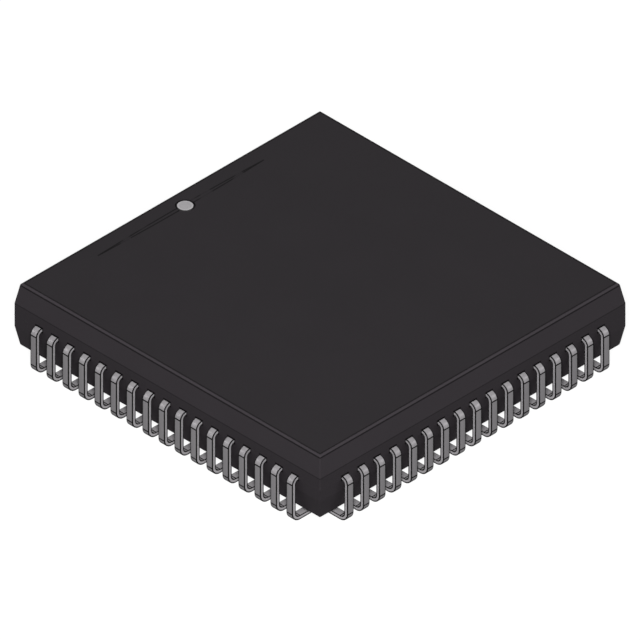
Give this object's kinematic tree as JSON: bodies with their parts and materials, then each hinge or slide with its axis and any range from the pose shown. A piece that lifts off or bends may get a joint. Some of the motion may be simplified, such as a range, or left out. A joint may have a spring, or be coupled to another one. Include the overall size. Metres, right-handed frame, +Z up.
{
  "type": "plcc chip",
  "caption": "Square plastic leaded chip carrier with drafted sides, J-shaped leads along all four sides and a round pin 1 mark on its top.",
  "frame": {"origin": "centre of the seating plane that the lead feet stand on, under the middle of the moulding", "axes": "+Z up through the top face, +Y towards the side with the pin 1 mark, +X to the right seen from above with that side away from the viewer"},
  "size_m": [0.0252, 0.0252, 0.005],
  "materials": {
    "epoxy": "matte moulded epoxy, near black",
    "tin_plate": "matt tin plate over copper strip, grey",
    "mark_ink": "matte light grey ink"
  },
  "bodies": {
    "root": {"moulded_body": "epoxy", "pin_1_mark": "mark_ink"}
  },
  "joints": []
}
